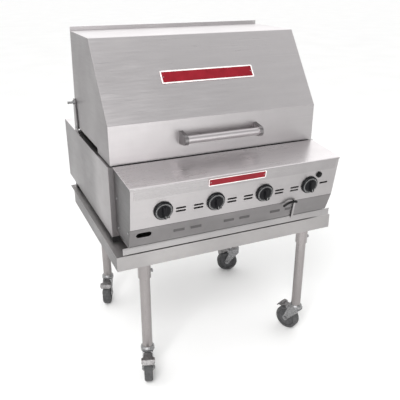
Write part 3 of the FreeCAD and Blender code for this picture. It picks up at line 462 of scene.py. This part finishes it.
def ring_mesh(mesh, rings, material=0, close_start=True, close_end=True, smooth=True):
    """Skins a list of closed rings of points, in order, and caps the first and last."""
    rows = [[mesh.verts.new(p) for p in ring] for ring in rings]
    faces = []
    for lower, upper in zip(rows, rows[1:]):
        count = len(lower)
        for i in range(count):
            j = (i + 1) % count
            faces.append(mesh.faces.new((lower[i], lower[j], upper[j], upper[i])))
    if close_start:
        faces.append(mesh.faces.new(rows[0][::-1]))
    if close_end:
        faces.append(mesh.faces.new(rows[-1]))
    for face in faces:
        face.material_index = material
        face.smooth = smooth
    return faces


def circle_points(radius, height, count=96):
    angles = [2 * math.pi * i / count for i in range(count)]
    return [Vector((radius * math.cos(angle), radius * math.sin(angle), height)) for angle in angles]


def bar_points(length, width, height, turn):
    """Round-ended bar outline at a height, turned about Z."""
    count = 12
    radius = width / 2
    reach = length / 2 - radius
    points = []
    for side in (0, 1):
        for i in range(count + 1):
            angle = -math.pi / 2 + math.pi * (i / count + side)
            centre = reach if side == 0 else -reach
            points.append(Vector((centre + radius * math.cos(angle), radius * math.sin(angle), height)))
    spin = Matrix.Rotation(math.radians(turn), 4, "Z")
    return [spin @ p for p in points]


def box_rings(x0, x1, y0, y1, z0, z1, rim):
    """Rings of a low block with a chamfered top."""
    def outline(inset, height):
        return [Vector((x0 + inset, y0 + inset, height)), Vector((x1 - inset, y0 + inset, height)),
                Vector((x1 - inset, y1 - inset, height)), Vector((x0 + inset, y1 - inset, height))]
    return [outline(0, z0), outline(0, z1 - rim), outline(rim, z1)]


def finished_mesh(name, mesh, matrix):
    data = bpy.data.meshes.new(name)
    mesh.transform(matrix @ Matrix.Scale(MM, 4))
    mesh.normal_update()
    mesh.to_mesh(data)
    mesh.free()
    return data


def soften(thing, width):
    bevel = thing.modifiers.new("edge", "BEVEL")
    bevel.width = width * MM
    bevel.segments = 2
    bevel.limit_method = "ANGLE"
    bevel.angle_limit = math.radians(35)
    return thing


def plane_frame(origin, up, outward):
    """Matrix whose Y axis runs up a sheet and whose Z axis points out of it."""
    across = up.cross(outward)
    rotation = Matrix((across, up, outward)).transposed()
    return Matrix.Translation(origin) @ rotation.to_4x4()


# Knobs
def knob_body(mesh):
    """Skirt with a grey dial ring on its sloping face, and the raised collar under the grip."""
    foot, rim = KNOB_FOOT, KNOB_RIM
    skirt = [(KNOB_RADIUS - 0.8, foot), (KNOB_RADIUS, foot + 0.8), (KNOB_RADIUS, foot + 3),
             (KNOB_RADIUS - 1.2, foot + 4.2), (KNOB_RADIUS - 3.4, rim - 0.4), (KNOB_RADIUS - 4.2, rim)]
    dial = [(KNOB_RADIUS - 4.2, rim), (25.5, rim + 0.2)]
    collar = [(25.5, rim + 0.2), (24.6, rim + 0.8), (24.0, rim + 2.4), (22.8, rim + 3.2), (12.0, rim + 3.5),
              (2.0, rim + 3.6)]
    for profile, material in ((skirt, 0), (dial, 2), (collar, 0)):
        rings = [circle_points(radius, height) for radius, height in profile]
        ring_mesh(mesh, rings, material, close_start=profile is skirt, close_end=profile is collar)
    bmesh.ops.remove_doubles(mesh, verts=mesh.verts[:], dist=0.001)


def knob_grip(mesh):
    foot = KNOB_RIM + 2.6
    sizes = [(51, 17, foot), (50.5, 15.5, foot + 2), (50, 14, foot + 5), (49.5, 12.5, KNOB_TOP - 3),
             (48.5, 11.5, KNOB_TOP - 1.2), (46.5, 9.5, KNOB_TOP)]
    ring_mesh(mesh, [bar_points(length, width, height, GRIP_TURN) for length, width, height in sizes])


def knob_ticks(mesh):
    """Pale dial marks round the ring, every fifth one longer, and a line along the grip."""
    for i in range(TICK_COUNT):
        turn = Matrix.Rotation(2 * math.pi * (i + 0.5) / TICK_COUNT, 4, "Z")
        inner = 26.4 if i % 5 == 0 else 27.8
        rings = box_rings(inner, 31.2, -0.5, 0.5, KNOB_RIM - 0.2, KNOB_RIM + 0.35, 0.1)
        ring_mesh(mesh, [[turn @ p for p in ring] for ring in rings], material=1, smooth=False)
    turn = Matrix.Rotation(math.radians(GRIP_TURN), 4, "Z")
    rings = box_rings(-22, -10, -0.8, 0.8, KNOB_TOP - 0.1, KNOB_TOP + 0.25, 0.1)
    ring_mesh(mesh, [[turn @ p for p in ring] for ring in rings], material=1, smooth=False)


def knob_pointer(mesh):
    turn = Matrix.Rotation(math.radians(POINTER_TURN), 4, "Z")
    rings = box_rings(KNOB_RADIUS - 6, KNOB_RADIUS + 2.2, -3.4, 3.4, KNOB_FOOT + 0.4, KNOB_RIM - 0.6, 1.4)
    ring_mesh(mesh, [[turn @ p for p in ring] for ring in rings], smooth=False)


def make_knobs(frame, finishes):
    for joint in frame["joints"]:
        if not joint["name"].startswith("knob_turn"):
            continue
        body = joint["child"]
        outward = Vector(joint["axis"]).normalized()
        up = outward.cross(Vector((1, 0, 0))).normalized()
        if up.z < 0:
            up = -up
        mesh = bmesh.new()
        knob_body(mesh)
        knob_grip(mesh)
        knob_ticks(mesh)
        knob_pointer(mesh)
        matrix = plane_frame(Vector(joint["pos_m"]), up, outward)
        data = finished_mesh(body + "_look", mesh, matrix)
        knob = add_object(body + "_look", data,
                          [finishes["knob_plastic"], finishes["knob_print"], finishes["knob_dial"]])
        soften(knob, 0.6)
        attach(knob, body)
        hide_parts(body)


# Name plates, left blank
def plate_outline(width, height, radius, level):
    """Rectangle with rounded corners, at a level."""
    count = 6
    points = []
    for quarter, (sx, sy) in enumerate(((1, -1), (1, 1), (-1, 1), (-1, -1))):
        centre = Vector((sx * (width / 2 - radius), sy * (height / 2 - radius), level))
        for i in range(count + 1):
            angle = math.pi / 2 * (quarter - 1 + i / count)
            points.append(centre + Vector((radius * math.cos(angle), radius * math.sin(angle), 0)))
    return points


def border_ring(mesh, width, height, band, level, material):
    """Raised band round a plate's edge."""
    rise = 0.5
    rings = [plate_outline(width, height, 5, level), plate_outline(width, height, 5, level + rise * 0.6),
             plate_outline(width - 0.6, height - 0.6, 4.7, level + rise),
             plate_outline(width - 2 * band, height - 2 * band, 5 - band * 0.6, level + rise),
             plate_outline(width - 2 * band - 0.6, height - 2 * band - 0.6, 4.7 - band * 0.6, level)]
    ring_mesh(mesh, rings, material=material, close_start=False, close_end=False)


def make_badge(name, body, centre, up, outward, size, border, finishes):
    width, height = size
    mesh = bmesh.new()
    rings = [plate_outline(width, height, 5, 0), plate_outline(width, height, 5, 1.2),
             plate_outline(width - 0.8, height - 0.8, 4.6, 1.6)]
    ring_mesh(mesh, rings, smooth=False)
    border_ring(mesh, width, height, border, 1.55, material=1)
    for side in (-1, 1):
        x = side * (width / 2 - border - 6)
        rivet = [[p + Vector((x, 0, 0)) for p in circle_points(radius, level, 20)]
                 for radius, level in ((2.2, 1.5), (2.1, 2.1), (1.5, 2.6), (0.5, 2.8))]
        ring_mesh(mesh, rivet, material=2)
    matrix = plane_frame(centre, up, outward)
    data = finished_mesh(name + "_look", mesh, matrix)
    plate = add_object(name + "_look", data,
                       [finishes["badge_enamel"], finishes["badge_border"], finishes["plated_steel"]])
    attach(plate, body)
    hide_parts(name)


def box_middle(node):
    low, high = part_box(node)
    return (low + high) / 2


def make_badges(finishes):
    up = Vector((0, math.sin(HOOD_SLOPE), math.cos(HOOD_SLOPE)))
    outward = Vector((0, -math.cos(HOOD_SLOPE), math.sin(HOOD_SLOPE)))
    centre = box_middle("hood_badge") - outward * BADGE_HALF_THICKNESS * MM
    make_badge("hood_badge", "hood", centre, up, outward, HOOD_BADGE_SIZE, HOOD_BADGE_BORDER, finishes)
    up = Vector((0, -math.sin(PANEL_LEAN), math.cos(PANEL_LEAN)))
    outward = Vector((0, -math.cos(PANEL_LEAN), -math.sin(PANEL_LEAN)))
    centre = box_middle("panel_badge") - outward * BADGE_HALF_THICKNESS * MM
    make_badge("panel_badge", "root", centre, up, outward, PANEL_BADGE_SIZE, PANEL_BADGE_BORDER, finishes)


# Wheels
def wheel_face(mesh, side):
    """Moulded wheel face: a dished web with ribs and a raised centre boss."""
    outer = [(37.5, 11.2), (37.0, 13.2), (35.0, 14.0), (33.4, 13.2), (32.6, 12.3), (20.0, 12.3), (17.5, 13.6),
             (16.5, 15.4), (12.0, 15.8)]
    ring_mesh(mesh, [circle_points(radius, side * level, 72) for radius, level in outer],
              close_start=False, close_end=False)
    for i in range(8):
        turn = Matrix.Rotation(2 * math.pi * i / 8, 4, "Z")
        rings = box_rings(17, 33.5, -1.6, 1.6, 12.1, 13.6, 0.5)
        ring_mesh(mesh, [[turn @ Vector((p.x, p.y, side * p.z)) for p in ring] for ring in rings])


def wheel_treads(mesh):
    """Two fine moulding lines round the tread."""
    for level in (-6.0, 6.0):
        rings = [circle_points(radius, level + step, 96)
                 for radius, step in ((53.8, -0.9), (54.15, -0.4), (54.15, 0.4), (53.8, 0.9))]
        ring_mesh(mesh, rings, close_start=False, close_end=False)


def make_wheels(frame, finishes):
    joints = {joint["name"]: joint for joint in frame["joints"]}
    for place in PLACES:
        joint = joints["wheel_spin_" + place]
        axle = Vector(joint["axis"]).normalized()
        matrix = plane_frame(Vector(joint["pos_m"]), Vector((0, 0, 1)), axle)
        mesh = bmesh.new()
        for side in (-1, 1):
            wheel_face(mesh, side)
        face = add_object("wheel_face_" + place, finished_mesh("wheel_face_" + place, mesh, matrix),
                          [finishes["wheel_hub"]])
        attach(face, "wheel_" + place)
        mesh = bmesh.new()
        wheel_treads(mesh)
        lines = add_object("wheel_tread_" + place, finished_mesh("wheel_tread_" + place, mesh, matrix),
                           [finishes["wheel_rubber"]])
        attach(lines, "wheel_" + place)


# Studio
def make_floor():
    bpy.ops.mesh.primitive_plane_add(size=FLOOR_SIZE)
    floor = bpy.context.active_object
    floor.name = "floor"
    floor.data.materials.append(floor_finish())


def add_area_light(name, at, aim, size, power):
    light = bpy.data.lights.new(name, "AREA")
    light.shape = "RECTANGLE"
    light.size, light.size_y = size
    light.energy = power
    lamp = bpy.data.objects.new(name, light)
    lamp.location = at
    lamp.rotation_euler = (Vector(aim) - Vector(at)).to_track_quat("-Z", "Y").to_euler()
    bpy.context.scene.collection.objects.link(lamp)


def make_world():
    """White studio walls, darker high up on the side that the hood's slope faces."""
    world = bpy.data.worlds.new("studio")
    bpy.context.scene.world = world
    world.use_nodes = True
    tree = world.node_tree
    background = tree.nodes["Background"]
    direction = tree.nodes.new("ShaderNodeTexCoord").outputs["Generated"]
    high = spread(tree, split_axis(tree, direction, "Z"), 0.0, HIGH_SHADE, *HIGH_BAND)
    front = spread(tree, split_axis(tree, direction, "Y"), 1.0, 0.0, *FRONT_BAND)
    shade = arithmetic(tree, "MULTIPLY", high, front)
    colour = colour_mix(tree, shade, (1.0, 1.0, 1.0), (0.0, 0.0, 0.0))
    tree.links.new(colour, background.inputs["Color"])
    background.inputs["Strength"].default_value = WORLD_STRENGTH


def make_lights():
    for name, (at, aim, size, power) in LAMPS.items():
        add_area_light(name, at, aim, size, power)


def make_camera():
    azimuth = math.radians(CAMERA_AZIMUTH)
    elevation = math.radians(CAMERA_ELEVATION)
    back = Vector((math.sin(azimuth) * math.cos(elevation), -math.cos(azimuth) * math.cos(elevation),
                   math.sin(elevation)))
    data = bpy.data.cameras.new("camera")
    data.lens = CAMERA_LENS
    data.sensor_width = SENSOR_WIDTH
    camera = bpy.data.objects.new("camera", data)
    camera.location = CAMERA_AT
    turn = (-back).to_track_quat("-Z", "Y").to_matrix().to_4x4()
    roll = Matrix.Rotation(math.radians(CAMERA_ROLL), 4, "Z")
    camera.rotation_euler = (turn @ roll).to_euler()
    bpy.context.scene.collection.objects.link(camera)
    bpy.context.scene.camera = camera


for thing in list(bpy.data.objects):
    bpy.data.objects.remove(thing)
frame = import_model()
finishes = make_finishes()
finish_cad_nodes(frame, finishes)
make_knobs(frame, finishes)
make_badges(finishes)
make_wheels(frame, finishes)
make_floor()
make_world()
make_lights()
make_camera()
bpy.context.scene.view_settings.view_transform = "Standard"
